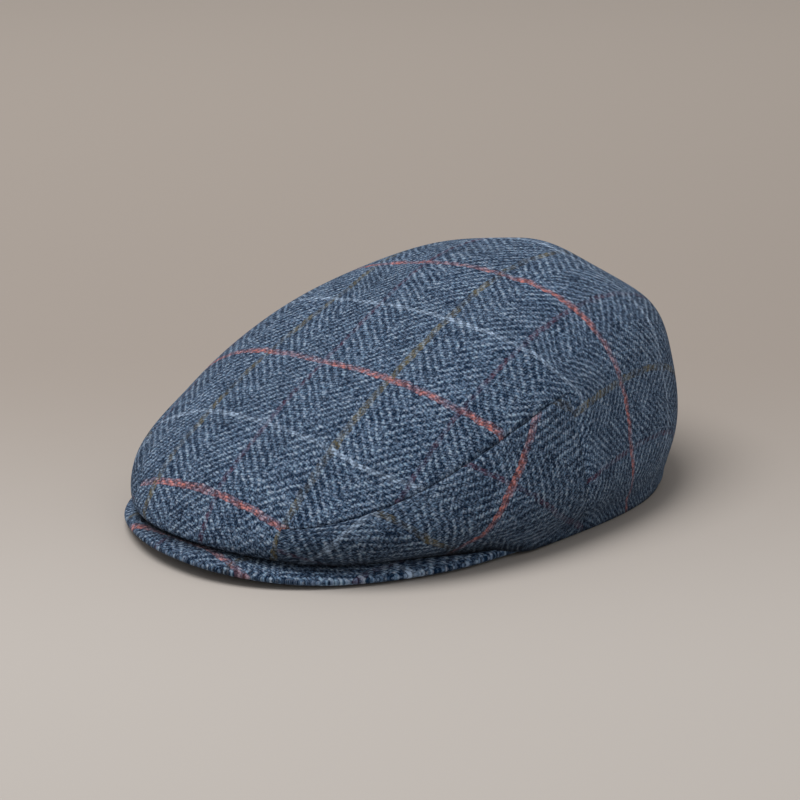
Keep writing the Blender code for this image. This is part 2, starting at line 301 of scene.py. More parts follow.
class CapStudio(bpy.types.PropertyGroup):
    """Floor, light and camera"""

    floor_colour: FloatVectorProperty(
        name="Floor", description="Pale warm grey of the floor", subtype="COLOR",
        default=(0.466, 0.432, 0.400), min=0.0, max=1.0)
    # The middle and far floor colours are painted light: painted shade behind the cap, and paler
    # painted light far away
    middle_shade_colour: FloatVectorProperty(
        name="Middle floor", description="Darker grey of the floor behind the cap",
        subtype="COLOR", default=(0.340, 0.297, 0.263), min=0.0, max=1.0)
    far_light_colour: FloatVectorProperty(
        name="Far floor", description="Grey of the floor in the distance",
        subtype="COLOR", default=(0.428, 0.377, 0.333), min=0.0, max=1.0)
    key_power: FloatProperty(
        name="Key light", description="Power of the large soft light above",
        default=25.5, min=0.0, max=500.0, unit="POWER")
    fill_power: FloatProperty(
        name="Fill light", description="Power of the soft light at the front left",
        default=0.8, min=0.0, max=500.0, unit="POWER")
    ambient: FloatProperty(
        name="Ambient", description="Strength of the light from all round",
        default=0.47, min=0.0, max=5.0)
    azimuth: FloatProperty(
        name="Camera azimuth", description="Angle round the cap, zero in front of its peak",
        default=radians(45), subtype="ANGLE")
    elevation: FloatProperty(
        name="Camera elevation", description="Angle above the floor",
        default=radians(20), subtype="ANGLE")
    distance: FloatProperty(
        name="Camera distance", description="Distance from the middle of the cap's foot",
        default=1.4, min=0.3, max=10.0, unit="LENGTH")
    lens: FloatProperty(
        name="Lens", description="Focal length in millimetres on a 36 mm sensor",
        default=141.6, min=20.0, max=400.0)
    aim: FloatVectorProperty(
        name="Aim", description="How far right of and above the cap's foot the camera aims",
        size=2, default=(0.0029, 0.0409), subtype="XYZ")


def smooth(share):
    """An even start and end between 0 and 1: 3 squares less 2 cubes of the share"""
    share = np.clip(share, 0.0, 1.0)
    return share * share * (3.0 - 2.0 * share)


def signed_power(value, power):
    """A power of the value's size, with the value's sign"""
    return np.sign(value) * np.abs(value) ** power


def wrapped(angle):
    """An angle brought between minus and plus half a round"""
    return np.arctan2(np.sin(angle), np.cos(angle))


def swing(place, wave):
    """A sine along a place: the wave's size times the sine of its pace times the place"""
    return wave.size * np.sin(wave.pace * place + wave.start)


def oval(bearing, half_width, front, widest, back, front_squareness, back_squareness):
    """Plan of an egg: one superellipse ahead of its widest place, another behind it"""
    side, ahead = np.sin(bearing), np.cos(bearing)
    squareness = np.where(ahead > 0.0, front_squareness, back_squareness)
    x = half_width * signed_power(side, 2.0 / squareness)
    reach = np.where(ahead > 0.0, -front - widest, back - widest)
    return x, widest + reach * np.abs(ahead) ** (2.0 / squareness)


def round_the_cap(bearing, front, side, back):
    """A value that turns from front to side to back with the squared cosine of the bearing"""
    ahead = np.cos(bearing)
    return side + np.where(ahead > 0.0, front - side, back - side) * ahead ** 2


def bell(bearing, form):
    """A bell round a bearing: its size times e to the power of minus (turn / reach) squared"""
    return form.size * np.exp(-(wrapped(bearing - form.bearing) / form.reach) ** 2)


def parabola(y, places, heights):
    """Height at y on the parabola through three places"""
    first, middle, last = places
    return (heights[0] * (y - middle) * (y - last) / ((first - middle) * (first - last))
            + heights[1] * (y - first) * (y - last) / ((middle - first) * (middle - last))
            + heights[2] * (y - first) * (y - middle) / ((last - first) * (last - middle)))


def head_oval(bearing, outside):
    """Plan of the head opening, set outwards by a distance"""
    half_length = HEAD_LENGTH / 2.0 + outside
    return oval(bearing, HEAD_WIDTH / 2.0 + outside, half_length, 0.0, half_length,
                HEAD_SQUARENESS, HEAD_SQUARENESS)


def peak_plan(bearing, share):
    """Plan of the peak, from the hem at share 0 to the peak's edge at 1"""
    inner_x, inner_y = head_oval(bearing, HEM_THICKNESS + PEAK_GAP)
    outer_x, outer_y = oval(bearing, PEAK_WIDTH / 2.0, PEAK_REACH, 0.0, 0.0,
                            PEAK_SQUARENESS, PEAK_SQUARENESS)
    return inner_x + (outer_x - inner_x) * share, inner_y + (outer_y - inner_y) * share


def peak_under(bearing, share):
    """Underside of the peak: arched from side to side, falling and curling to its edge"""
    x, y = peak_plan(bearing, share)
    arch = 0.5 + 0.5 * np.cos(pi * np.minimum(np.abs(bearing) / PEAK_CORNER, 1.0))
    fade = np.maximum(np.cos(bearing), 0.0)
    curl = 1.0 - np.maximum(share, 0.0) ** 4
    z = PEAK_LIFT * arch + fade * (PEAK_RISE * (1.0 - share) + PEAK_DIP * curl)
    return np.stack([x, y, z], axis=-1)


def peak_up(bearing, share):
    """Direction square to the peak's underside, by differences along and across it"""
    along = peak_under(bearing + STEP, share) - peak_under(bearing - STEP, share)
    across = peak_under(bearing, share + STEP) - peak_under(bearing, share - STEP)
    up = np.cross(across, along)
    return up / np.linalg.norm(up, axis=-1, keepdims=True)


def peak_top(bearing, share):
    """Upper face of the peak, a peak's thickness above its underside"""
    return peak_under(bearing, share) + PEAK_THICKNESS * peak_up(bearing, share)


def crease_share(bearing):
    """Share of the peak's width at which the crown's foot rests on it"""
    turned = np.abs(bearing)
    hem_front = HEAD_LENGTH / 2.0 + HEM_THICKNESS + PEAK_GAP
    front = (CROWN_NOSE - CREASE_SETBACK - hem_front) / (PEAK_REACH - hem_front)
    share = CREASE_SIDE + (front - CREASE_SIDE) * np.cos(np.minimum(turned, PEAK_END)) ** 2
    return share + bell(bearing, CREASE_OUT) + bell(turned, CREASE_IN)


def lower_edge(bearing):
    """Foot of the crown: on the peak as far as its ends, and round the hem behind them"""
    turned = np.abs(bearing)
    on_peak = np.minimum(turned, PEAK_END)
    crease = crease_share(bearing)
    inner = np.stack(peak_plan(on_peak, 0.0), axis=-1)
    outer = np.stack(peak_plan(on_peak, 1.0), axis=-1)
    wall_share = CLOTH / np.linalg.norm(outer - inner, axis=-1)
    seat = peak_top(on_peak, crease)
    seat_height = np.maximum(seat[..., 2], peak_top(on_peak, crease - wall_share)[..., 2])
    rear = np.stack(head_oval(turned, HEM_THICKNESS + HEM_GAP + CLOTH), axis=-1)
    leave = smooth((turned - LEAVE_START) / LEAVE_TURN)[..., None]
    plan = seat[..., :2] * (1.0 - leave) + rear * leave
    out = bell(turned, FOOT_OUT)
    drop = smooth((turned - DROP_START) / DROP_TURN)
    low = FLOOR_GAP + bell(turned, FOOT_UP)
    height = (seat_height + PEAK_GAP) * (1.0 - drop) + low * drop
    x = (plan[..., 0] + out * np.sin(turned)) * np.sign(bearing)
    return np.stack([x, plan[..., 1] - out * np.cos(turned), height], axis=-1)


def ring_points(ring, bearing):
    """One section of the crown: an egg in plan, lying on a curved sheet"""
    places = (-ring.front * CROWN_NOSE, ring.widest * CROWN_BACK, ring.back * CROWN_BACK)
    x, y = oval(bearing, ring.half_width * CROWN_WIDTH / 2.0, -places[0], places[1], places[2],
                ring.front_squareness, ring.back_squareness)
    height = parabola(y, places, (ring.front_height, ring.side_height, ring.back_height))
    return np.stack([x, y, CROWN_HEIGHT * height], axis=-1)


def crown_sections(bearing):
    """Foot, tuck and rings of the crown, from the bottom to the apex"""
    foot = lower_edge(bearing)
    rings = [ring_points(ring, bearing) for ring in RINGS]
    rings[0][..., 2] += bell(bearing, BELLY_DOWN) + bell(np.abs(bearing), BELLY_UP)
    out = round_the_cap(bearing, *TUCK_OUT)
    up = round_the_cap(bearing, *TUCK_UP)
    tuck = foot + (rings[0] - foot) * np.stack([out, out, up], axis=-1)
    apex = np.zeros_like(foot) + (0.0, APEX_BACK * CROWN_BACK, CROWN_HEIGHT)
    return np.stack([foot, tuck] + rings + [apex])


def banded(count, below, middle, above):
    """Square matrix with one value on its diagonal and one on each side of it"""
    return (np.diag(np.full(count - 1, below), -1) + np.diag(np.full(count, middle))
            + np.diag(np.full(count - 1, above), 1))


def spline_slopes(count, level_end):
    """Matrix that turns evenly spaced values into the slopes of a natural cubic spline"""
    left = banded(count, 1.0, 4.0, 1.0)
    right = banded(count, -3.0, 0.0, 3.0)
    left[0, 0] = left[-1, -1] = 2.0
    right[0, 0], right[-1, -1] = -3.0, 3.0
    if level_end:
        left[-1] = 0.0
        left[-1, -1] = 1.0
        right[-1] = 0.0
    return np.linalg.solve(left, right)


def crown(bearing, climb):
    """Outer face of the crown, with climb 0 at its foot and 1 at its apex

    Natural cubic splines join its sections, and come in level at the apex. The sections are
    those of the CAD model with the settling of the crease, the foot and the belly.
    """
    bearing, climb = np.broadcast_arrays(bearing, climb)
    knots = crown_sections(bearing)
    count = len(knots)
    free = np.tensordot(spline_slopes(count, False), knots, 1)
    level = np.tensordot(spline_slopes(count, True), knots[..., 2], 1)
    slopes = np.concatenate([free[..., :2], level[..., None]], axis=-1)
    place = climb * (count - 1)
    below = np.clip(np.floor(place).astype(int), 0, count - 2)
    part = (place - below)[..., None]

    def at(values, step):
        """Values at the section below each point, or the one above it"""
        wanted = np.broadcast_to((below + step)[None, ..., None], (1,) + values.shape[1:])
        return np.take_along_axis(values, wanted, axis=0)[0]

    rise = part * part * (3.0 - 2.0 * part)
    bend = part * (1.0 - part)
    return (at(knots, 0) * (1.0 - rise) + at(knots, 1) * rise
            + at(slopes, 0) * bend * (1.0 - part) - at(slopes, 1) * bend * part)


def seam_climb(bearing):
    """Climb of the seam's long run, carried on round the nose and the back"""
    along = (np.abs(bearing) - SEAM_FRONT) / (SEAM_BACK - SEAM_FRONT)
    return SEAM_FRONT_CLIMB + (SEAM_BACK_CLIMB - SEAM_FRONT_CLIMB) * smooth(along)


def crown_normal(bearing, climb):
    """Outward direction of the crown, by differences round it and up it"""
    step = NORMAL_STEP
    bearing, climb = np.broadcast_arrays(bearing, np.clip(climb, step / 2.0, 1.0 - 10.0 * step))
    low = np.maximum(climb - step, 0.0)
    across = crown(bearing + step, climb) - crown(bearing - step, climb)
    up = crown(bearing, climb + step) - crown(bearing, low)
    normal = np.cross(across, up)
    return normal / np.linalg.norm(normal, axis=-1, keepdims=True)


def seam_edge(bearing, outside):
    """Climb of a line beside the seam's long run, by its distance above the run in metres"""
    climb = seam_climb(bearing)
    rate = np.linalg.norm(crown(bearing, climb + STEP) - crown(bearing, climb - STEP), axis=-1)
    return climb + outside * 2.0 * STEP / rate


def seam_path():
    """Points along the left seam: up its front end, along its long run, down its back end"""
    ends = np.linspace(0.0, 1.0, SEAM_END_POINTS)
    run = np.linspace(SEAM_FRONT, SEAM_BACK, SEAM_RUN_POINTS)
    front = crown(SEAM_FRONT, ends * seam_climb(SEAM_FRONT))
    back = crown(SEAM_BACK, ends[::-1] * seam_climb(SEAM_BACK))
    return np.concatenate([front[:-1], crown(run, seam_climb(run)), back[1:]])


def distance_to_path(points, path):
    """Distance of each point from a path, and the share of the path where it is nearest

    Each point is dropped on every straight stretch of the path, and the nearest drop counts.
    The points go through in parts, which keeps the arrays small.
    """
    start, run = path[:-1], np.diff(path, axis=0)
    size = (run * run).sum(axis=1)
    far, where = [], []
    for part in np.array_split(points.reshape(-1, 3), PATH_PARTS):
        away = part[:, None, :] - start[None, :, :]
        share = np.clip((away * run).sum(axis=2) / size, 0.0, 1.0)
        gap = np.linalg.norm(away - share[..., None] * run, axis=2)
        nearest = gap.argmin(axis=1)
        rows = np.arange(len(part))
        far.append(gap[rows, nearest])
        where.append((nearest + share[rows, nearest]) / len(run))
    shape = points.shape[:-1]
    return np.concatenate(far).reshape(shape), np.concatenate(where).reshape(shape)


def cloth_face(bearing, climb, sewing):
    """Outer face of the crown with its sewn detail

    The crown's face moved along its outward direction by the sum of: a valley that is deepest
    at the seam and fades with the square of the distance from it, a wider and shallower one
    beside it, the soft dents, and behind the peak the roll of the hem, which is a bump with a
    shallow groove above it.
    """
    bearing, climb = np.broadcast_arrays(bearing, climb)
    points = crown(bearing, climb)
    mirrored = np.abs(points) * (1.0, 0.0, 0.0) + points * (0.0, 1.0, 1.0)
    far, where = distance_to_path(mirrored, seam_path())
    tension = 1.0 + swing(where, TENSION_SLOW) + swing(where, TENSION_QUICK)
    run = smooth((where - RUN_START) / RUN_START_WIDTH) * (
        1.0 - smooth((where - RUN_END) / RUN_END_WIDTH))
    strength = sewing.seam_end + (1.0 - sewing.seam_end) * run
    moved = 0.0
    for depth, reach in ((sewing.seam_depth * tension, sewing.seam_reach),
                         (SINK_DEPTH, SINK_REACHES * sewing.seam_reach)):
        moved = moved - depth * strength * np.clip(1.0 - far / reach, 0.0, 1.0) ** 2
    for dent in DENTS:
        turn = wrapped(bearing - dent.bearing)
        reach = (turn / dent.turn) ** 2 + ((climb - dent.climb) / dent.rise) ** 2
        moved += dent.height * np.exp(-reach)
    above = points[..., 2] - sewing.hem_roll_height
    behind = smooth((np.abs(bearing) - ROLL_START) / ROLL_TURN)
    roll = np.exp(-(above / ROLL_REACH) ** 2) - GROOVE_SHARE * np.exp(
        -((above - GROOVE_ABOVE) / GROOVE_REACH) ** 2)
    moved += behind * sewing.hem_roll * roll * (1.0 + swing(bearing, ROLL_SWING))
    return points + crown_normal(bearing, climb) * moved[..., None]


def foot_shade(bearing, climb):
    """Shade of the crown's cloth, which darkens to its foot, most of all above the peak"""
    ahead = 1.0 - smooth((np.abs(bearing) - AHEAD_START) / AHEAD_TURN)
    depth = FOOT_DEPTH + FOOT_DEPTH_GAIN * ahead
    reach = FOOT_REACH + FOOT_REACH_GAIN * ahead
    under = bell(bearing, NOSE_SHADE) * (
        1.0 - smooth((climb - NOSE_SHADE_START) / NOSE_SHADE_WIDTH))
    return (1.0 - depth * (1.0 - smooth(climb / reach))) * (1.0 - under)


def peak_shade(bearing, past, rise):
    """Shade of the peak's cloth by what lies past the crease and the rise round its section"""
    aside = smooth((np.abs(bearing) - ASIDE_START) / ASIDE_TURN)
    end = CREASE_SHADE_END - CREASE_SHADE_ASIDE * aside
    upper = smooth((rise - UPPER_START) / UPPER_WIDTH)
    shade = 1.0 - CREASE_DEPTH * smooth((end - past) / CREASE_SHADE_WIDTH) * upper
    return shade * (MIDDLE_LIGHT + ASIDE_LIGHT * aside)


def central_differences(count, spacing):
    """Matrix of the slopes of evenly spaced values, one-sided at both ends"""
    matrix = banded(count, -0.5, 0.0, 0.5)
    matrix[0, :3] = (-1.5, 2.0, -0.5)
    matrix[-1, -3:] = (0.5, -2.0, 1.5)
    return matrix / spacing


def second_differences(count):
    """Matrix of the bends of evenly spaced values, without the two ends"""
    return banded(count, 1.0, -2.0, 1.0)[1:-1]


# Laying the cloth: its grid, the weight of its evenness, the rounds of the search, the turn
# kept from the middle line and from straight aside, and how far a face may look down before
# its cloth turns no further
LAY_TURNS = 37
LAY_CLIMBS = 30
LAY_EVENNESS = 10.0
LAY_ROUNDS = 1000
LAY_MARGIN = 0.01
LAY_STEEPEST = -0.7

# Powers that even out the turn round the crown, ahead and behind: at the foot, what they gain
# on the way up, and the climb at which the gain starts and over which it goes on
Gain = namedtuple("Gain", "first gain start width")
POWER_AHEAD = Gain(0.88, 0.14, 0.0, 0.6)
POWER_BEHIND = Gain(0.78, 0.22, 0.3, 0.6)


def turn_power(ahead, climb):
    """Power that evens out the speed round the crown's sections"""
    front, rear = (form.first + form.gain * smooth((climb - form.start) / form.width)
                   for form in (POWER_AHEAD, POWER_BEHIND))
    return np.where(ahead, front, rear)


def turn_of(bearing, climb):
    """Turn round the crown that goes with a bearing: a superellipse's angle, without its
    rush at the front, the side and the back
    """
    power = turn_power(np.cos(bearing) > 0.0, climb)
    return np.arctan2(np.abs(np.sin(bearing)) ** power, signed_power(np.cos(bearing), power))


def bearing_of(turn, climb):
    """Bearing that goes with a turn round the crown"""
    power = 1.0 / turn_power(np.cos(turn) > 0.0, climb)
    return np.arctan2(np.abs(np.sin(turn)) ** power, signed_power(np.cos(turn), power))


def lay_cloth():
    """Places on the flat cloth of a grid of the crown's left half, turn by climb

    The cloth's two directions at a point are X and Y turned with Z into the outward
    direction there by the shortest turn. The two places on the cloth are the functions whose
    slopes come nearest to those directions by least squares, weighed by area, kept even by a
    little of their second differences, and pinned to zero at the apex. The place across the
    cloth is also pinned to zero on the cap's middle line.
    """
    turns = np.linspace(0.0, pi, LAY_TURNS)
    climbs = np.linspace(0.0, 1.0, LAY_CLIMBS)
    turn, climb = np.meshgrid(np.clip(turns, LAY_MARGIN, pi - LAY_MARGIN), climbs,
                              indexing="ij")
    turn = turn + LAY_MARGIN * (np.abs(turn - pi / 2.0) < LAY_MARGIN / 2.0)
    climb = np.clip(climb, STEP, 1.0 - STEP)

    def face(turn, climb):
        """Points of the crown at turns and climbs"""
        return crown(bearing_of(turn, climb), climb)

    around = (face(turn + STEP, climb) - face(turn - STEP, climb)) / (2.0 * STEP)
    up = (face(turn, climb + STEP) - face(turn, climb - STEP)) / (2.0 * STEP)
    normal = np.cross(around, up)
    area = np.linalg.norm(normal, axis=-1)
    normal /= area[..., None]
    nx, ny, nz = np.moveaxis(normal, -1, 0)
    lean = 1.0 / (1.0 + np.maximum(nz, LAY_STEEPEST))
    crosswise = np.stack([1.0 - lean * nx * nx, -lean * nx * ny, -nx], axis=-1)
    lengthwise = np.stack([-lean * nx * ny, 1.0 - lean * ny * ny, -ny], axis=-1)

    size = np.linalg.norm(up, axis=-1)
    first = up / size[..., None]
    second = np.cross(first, normal)
    along_first = (around * first).sum(axis=-1)
    along_second = (around * second).sum(axis=-1)
    weight = np.sqrt(area / area.mean())
    slope_b = central_differences(LAY_TURNS, turns[1])
    slope_c = central_differences(LAY_CLIMBS, climbs[1])
    bend_b = LAY_EVENNESS * second_differences(LAY_TURNS)
    bend_c = LAY_EVENNESS * second_differences(LAY_CLIMBS)
    up_part = weight / size
    round_part = weight / along_second
    skew_part = round_part * along_first / size

    def misfit(places):
        """Slopes of the places in both directions, and their bends"""
        rise = places @ slope_c.T
        return (up_part * rise, round_part * (slope_b @ places) - skew_part * rise,
                bend_b @ places, places @ bend_c.T)

    def gather(slopes, cross_slopes, bends, cross_bends):
        """Transpose of the misfit, which the normal equations need"""
        rise = up_part * slopes - skew_part * cross_slopes
        return (rise @ slope_c + slope_b.T @ (round_part * cross_slopes)
                + bend_b.T @ bends + cross_bends @ bend_c)

    free_along = np.ones((LAY_TURNS, LAY_CLIMBS))
    free_along[:, -1] = 0.0
    free_across = free_along.copy()
    free_across[0] = free_across[-1] = 0.0
    found = []
    for direction, free in ((crosswise, free_across), (lengthwise, free_along)):
        wanted = (weight * (direction * first).sum(axis=-1),
                  weight * (direction * second).sum(axis=-1),
                  np.zeros((LAY_TURNS - 2, LAY_CLIMBS)), np.zeros((LAY_TURNS, LAY_CLIMBS - 2)))
        places = np.zeros_like(weight)
        left = free * gather(*wanted)
        search, power = left.copy(), (left * left).sum()
        for _ in range(LAY_ROUNDS):
            pushed = free * gather(*misfit(search))
            length = power / (search * pushed).sum()
            places += length * search
            left -= length * pushed
            before, power = power, (left * left).sum()
            search = left + power / before * search
        found.append(places)
    return found


class ClothLay:
    """The flat cloth under the whole crown, read anywhere by cubic splines both ways"""

    spare = 5

    def __init__(self):
        across, along = lay_cloth()
        self.grids = [self.mirrored(across, -1.0), self.mirrored(along, 1.0)]

    def mirrored(self, half, sign):
        """The left half with a few columns past the front and the back, by its symmetry"""
        front = sign * half[self.spare:0:-1]
        back = sign * half[-2:-2 - self.spare:-1]
        return np.concatenate([front, half, back])

    def read(self, grid, turn, climb):
        """Values of a grid at turns from 0 to half a round and at climbs"""
        count_b, count_c = grid.shape
        slopes_b, slopes_c = spline_slopes(count_b, False), spline_slopes(count_c, False)
        along_b, along_c = slopes_b @ grid, grid @ slopes_c.T
        both = slopes_b @ grid @ slopes_c.T
        place_b = self.spare + turn / pi * (LAY_TURNS - 1)
        place_c = climb * (LAY_CLIMBS - 1)
        cell_b = np.clip(np.floor(place_b).astype(int), 0, count_b - 2)
        cell_c = np.clip(np.floor(place_c).astype(int), 0, count_c - 2)
        total = np.zeros_like(place_b)
        for step_b, value_b, slope_b in self.weights(place_b - cell_b):
            for step_c, value_c, slope_c in self.weights(place_c - cell_c):
                at = (cell_b + step_b, cell_c + step_c)
                total += value_b * value_c * grid[at] + slope_b * value_c * along_b[at]
                total += value_b * slope_c * along_c[at] + slope_b * slope_c * both[at]
        return total

    @staticmethod
    def weights(part):
        """Weights of the values and slopes at the two ends of a cubic stretch"""
        rise = part * part * (3.0 - 2.0 * part)
        return ((0, 1.0 - rise, part * (1.0 - part) ** 2), (1, rise, part * part * (part - 1.0)))

    def places(self, bearing, climb):
        """Places across and along the cloth of points of the crown"""
        bearing, climb = np.broadcast_arrays(bearing, climb)
        turn = turn_of(bearing, climb)
        across = np.sign(bearing) * self.read(self.grids[0], turn, climb)
        return across, self.read(self.grids[1], turn, climb)


@cache
def cloth_lay():
    """The laid cloth, worked out once"""
    return ClothLay()


# Lines of the top panel's check on the laid cloth, by number, place, lean and bend. A
# crosswise line lies at its place on the middle line, leans by its lean per metre to the left,
# and turns by its bend times the square of what lies past the start of the bend. A lengthwise
# line lies at its place at the nose's middle, and its lean and bend count from there
# backwards. Each place is the middle of the coloured yarns
CheckLine = namedtuple("CheckLine", "number place lean bend")
CROSSWISE = [CheckLine(*line) for line in (
    (-6, -0.2560, 0.00, 6.0),
    (-5, -0.2140, 0.00, 6.0),
    (-4, -0.1724, 0.013, 6.0),
    (-3, -0.1318, 0.013, 9.0),
    (-2, -0.0905, 0.061, 5.5),
    (-1, -0.0491, 0.091, 8.0),
    (0, -0.0157, 0.189, -2.3),
    (1, 0.0230, 0.180, -2.0),
    (2, 0.0640, 0.160, 0.0),
    (3, 0.1060, 0.130, 0.0),
    (4, 0.1480, 0.100, 0.0),
    (5, 0.1900, 0.100, 0.0),
    (6, 0.2320, 0.100, 0.0),
    (7, 0.2740, 0.100, 0.0))]
LENGTHWISE = [CheckLine(*line) for line in (
    (-5, -0.1840, 0.060, 0.0),
    (-4, -0.1460, 0.060, 0.0),
    (-3, -0.1085, 0.050, 0.1),
    (-2, -0.0720, 0.045, 0.2),
    (-1, -0.0373, 0.036, 0.4),
    (0, -0.0080, -0.138, 0.3),
    (1, 0.0284, -0.183, 0.45),
    (2, 0.0669, -0.235, 0.45),
    (3, 0.1012, -0.215, 0.2),
    (4, 0.1270, -0.210, 0.2),
    (5, 0.1620, -0.200, 0.2),
    (6, 0.2000, -0.200, 0.2))]

# Crosswise lines: where their bend starts on the left and how far it goes on, where their
# lean ends on the right and what it is past there, and on the left side a dip and then a rise
BEND_START, BEND_LENGTH = 0.045, 0.040
RIGHT_START, RIGHT_LEAN = -0.040, 0.06
DIP_PLACE, DIP_REACH, DIP_DEPTH = 0.116, 0.016, 0.008
RISE_START, RISE_LEAN = 0.125, 0.25

# Lengthwise lines: the place along the cloth from which they lean and bend, how far that goes
# ahead and back, and the second lean and bend of the right-hand ones, from their turn on
LEAN_START, LEAN_AHEAD, LEAN_BACK = -0.080, -0.11, 0.19
TURN_START, TURN_LEAN, TURN_BEND = 0.035, -0.16, 0.3

# A side panel's places on the laid cloth are counted from its middle in tenths of a metre.
# The sums that give its places on the check have a constant, and weights for the place
# across, the place along, their product and the two squares
SIDE_ACROSS, SIDE_ALONG, SIDE_UNIT = 0.100, -0.090, 0.1
SIDE_LENGTHWISE = (0.0734, -0.0602, 0.0777, -0.0228, -0.0099, -0.0250)
SIDE_CROSSWISE = (-0.0084, 0.0858, 0.0460, 0.0010, 0.0050, 0.0428)

# The peak's check: a red line lies along the lip and leans ahead over a stretch left of the
# middle, the cloth is drawn in towards the ends, and its lengthwise lines lean
LIP_LINE = 0.1368
LIP_LEAN, LIP_LEAN_START, LIP_LEAN_LENGTH = 0.12, 0.012, 0.03
DRAWN_IN, DRAWN_START, DRAWN_WIDTH = 0.26, 0.045, 0.045
PEAK_LEAN, PEAK_LEAN_START, PEAK_SHIFT = 0.12, 0.130, 0.008

# Places on the cloth at which the hem's length and height start
HEM_START, HEM_FOOT = 0.012, 0.010


def check_number(value, lines):
    """Number of the check line at a value, growing evenly from each line to the next"""
    number = np.full(value.shape, float(lines[0][0]))
    for (_, place), (_, following) in zip(lines[:-1], lines[1:]):
        number += np.clip((value - place) / (following - place), 0.0, 1.0)
    return number


def top_check(across, along):
    near = np.maximum(across, RIGHT_START)
    far = np.minimum(across - RIGHT_START, 0.0)
    past = np.clip(across - BEND_START, 0.0, BEND_LENGTH)
    dip = RISE_LEAN * np.maximum(across - RISE_START, 0.0)
    dip = dip - DIP_DEPTH * np.exp(-((across - DIP_PLACE) / DIP_REACH) ** 2)
    crosswise = [(line.number, line.place + line.lean * near + RIGHT_LEAN * far + dip
                  + line.bend * past ** 2) for line in CROSSWISE]
    back = np.clip(along - LEAN_START, LEAN_AHEAD, LEAN_BACK)
    lengthwise = []
    for line in LENGTHWISE:
        bent = np.minimum(back, TURN_START) if line.number < 0 else back
        rest = back - bent
        lengthwise.append((line.number, line.place + line.lean * bent + line.bend * bent ** 2
                           + rest * (TURN_BEND * rest + TURN_LEAN)))
    return (CHECK_WIDTH * check_number(across, lengthwise),
            CHECK_LENGTH * check_number(along, crosswise))


def side_check(across, along):
    """The thread of a side panel turns along the panel, so its places are sums of the two places
    on the laid cloth, their product and their squares.
    """
    out = (np.abs(across) - SIDE_ACROSS) / SIDE_UNIT
    back = (along - SIDE_ALONG) / SIDE_UNIT
    terms = np.stack([np.ones_like(out), out, back, out * back, out * out, back * back], axis=-1)
    return terms @ SIDE_LENGTHWISE, terms @ SIDE_CROSSWISE


def peak_check(x, y):
    drawn = 1.0 - DRAWN_IN * smooth((np.abs(x) - DRAWN_START) / DRAWN_WIDTH)
    lean = LIP_LEAN * np.clip(x - LIP_LEAN_START, 0.0, LIP_LEAN_LENGTH)
    return x - PEAK_LEAN * (y + PEAK_LEAN_START) + PEAK_SHIFT, (y + LIP_LINE + lean) * drawn


def crown_patch(bearings, climb, check, sewing):
    """Points, places on the check and shade of a grid of the crown's cloth"""
    bearing = np.broadcast_to(bearings[:, None], climb.shape)
    cloth = np.stack(check(*cloth_lay().places(bearing, climb)), axis=-1)
    return cloth_face(bearing, climb, sewing), cloth, foot_shade(bearing, climb)


def spaced(start, end, count, crowding):
    """Places from start to end that crowd at both ends as a cosine does"""
    share = np.linspace(0.0, 1.0, count + 1)
    return start + (end - start) * (share * (1.0 - crowding)
                                    + crowding * (0.5 - 0.5 * np.cos(pi * share)))


def grid_faces(columns, rows, start):
    """Faces of a grid of points stored column by column, counted from start"""
    column, row = np.meshgrid(np.arange(columns - 1), np.arange(rows - 1), indexing="ij")
    corner = (start + column * rows + row).ravel()
    return np.stack([corner, corner + rows, corner + rows + 1, corner + 1], axis=1)


def make_piece(name, patches, material):
    """A mesh from patches of points, cloth places and shade, welded where the points meet

    Points closer than the weld distance become one, and a face that loses a corner there
    becomes a triangle, so that seams and poles are closed. The shade is a point attribute of
    painted shade and light: 1 on open cloth, less where shade is painted in a tight fold and
    on the nose, and above 1 where light is painted on the peak's sides.
    """
    points, cloth, shade, faces, start = [], [], [], [], 0
    for patch_points, patch_cloth, patch_shade in patches:
        columns, rows = patch_points.shape[:2]
        points.append(patch_points.reshape(-1, 3))
        cloth.append(patch_cloth.reshape(-1, 2))
        shade.append(np.broadcast_to(patch_shade, (columns, rows)).ravel())
        faces.append(grid_faces(columns, rows, start))
        start += columns * rows
    points, cloth, faces = np.concatenate(points), np.concatenate(cloth), np.concatenate(faces)
    _, kept, same = np.unique(np.round(points / WELD), axis=0, return_index=True,
                              return_inverse=True)
    same = same.reshape(-1)[faces]
    corner_cloth = cloth[faces]
    double = same == np.roll(same, -1, axis=1)
    whole = ~double.any(axis=1)
    three = double.sum(axis=1) == 1
    left = ~double[three]
    triangles = same[three][left].reshape(-1, 3)
    mesh = bpy.data.meshes.new(name)
    mesh.from_pydata((points[kept] + CENTRE).tolist(), [],
                     same[whole].tolist() + triangles.tolist())
    layer = mesh.uv_layers.new(name="cloth")
    corners = np.concatenate([corner_cloth[whole].reshape(-1, 2),
                              corner_cloth[three][left].reshape(-1, 2)])
    layer.data.foreach_set("uv", corners.astype(np.float32).ravel())
    layer = mesh.attributes.new("shade", "FLOAT", "POINT")
    layer.data.foreach_set("value", np.concatenate(shade)[kept].astype(np.float32))
    mesh.shade_smooth()
    mesh.materials.append(material)
    piece = bpy.data.objects.new(name, mesh)
    bpy.context.scene.collection.objects.link(piece)
    return piece


def give_wall(piece):
    """Give a sheet its wall, inwards from its outer face"""
    wall = piece.modifiers.new("wall", "SOLIDIFY")
    wall.thickness = CLOTH
    wall.offset = -1.0
    wall.use_even_offset = False
    return piece


def stand_for(piece, node):
    """Let a piece stand for its CAD node, on the same body, and hide the node"""
    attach(piece, "root")
    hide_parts(node)


def operator(operation, turned=False):
    """A wire's method that adds a Math node, with its two sides exchanged where turned"""
    def method(self, other):
        """The Math node of the wire and the other side"""
        sides = (other, self) if turned else (self, other)
        return self.board.maths(operation, *sides)
    return method


